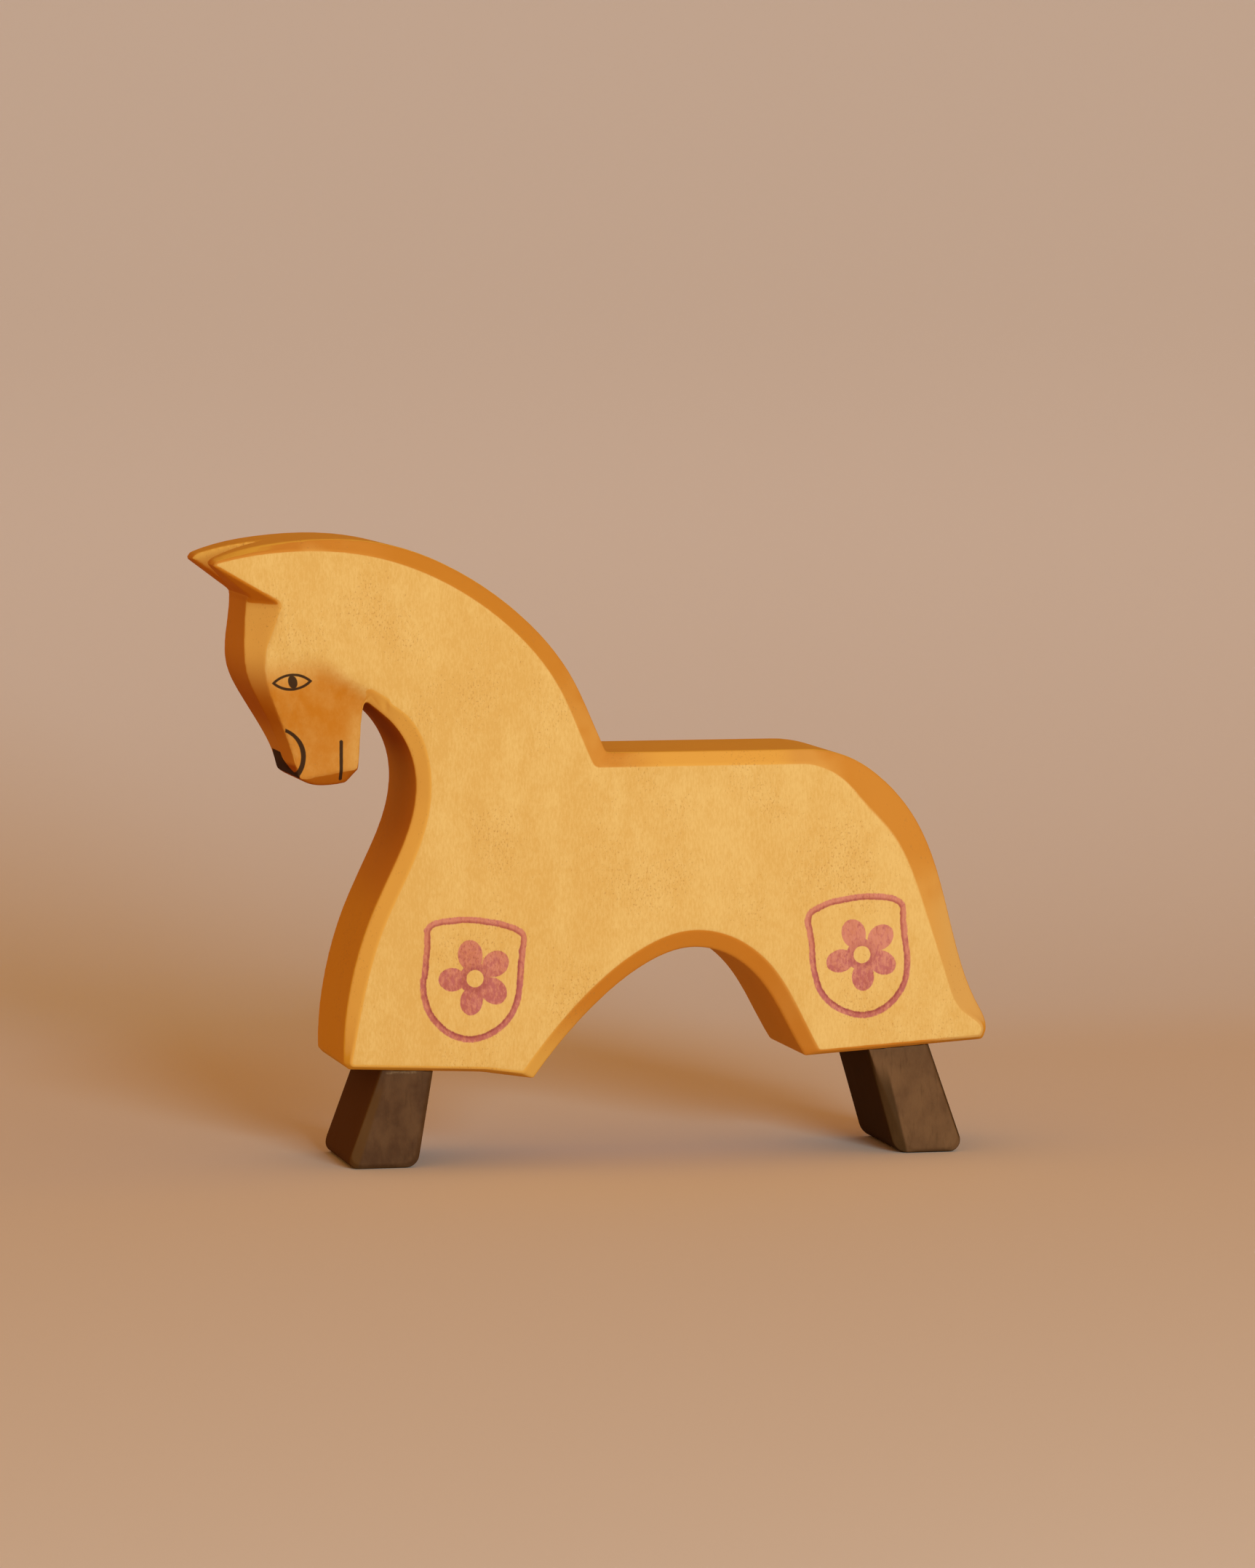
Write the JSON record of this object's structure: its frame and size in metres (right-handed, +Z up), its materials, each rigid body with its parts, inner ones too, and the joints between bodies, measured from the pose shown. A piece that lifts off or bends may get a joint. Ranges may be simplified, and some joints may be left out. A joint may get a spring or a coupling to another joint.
{
  "type": "carved wooden horse figurine",
  "caption": "Standing horse figurine sawn from a plank, knife-chamfered all round, in a long cloth cover, on short leg blocks.",
  "frame": {"origin": "centre of the bounding box on the plane of the feet", "axes": "+Z up, -X the way the horse looks, -Y its left side, which is the plank's pictured face"},
  "size_m": [0.148, 0.032, 0.1174],
  "materials": {
    "stained_wood": "satin ochre stain, knife finish",
    "dark_wood": "satin dark brown stain",
    "dowel_wood": "bare beech, hidden in the joint"
  },
  "bodies": {
    "root": {"body": "stained_wood", "front_leg": "dark_wood", "rear_leg": "dark_wood", "front_dowel_left": "dowel_wood", "front_dowel_right": "dowel_wood", "rear_dowel_left": "dowel_wood", "rear_dowel_right": "dowel_wood"}
  },
  "joints": []
}
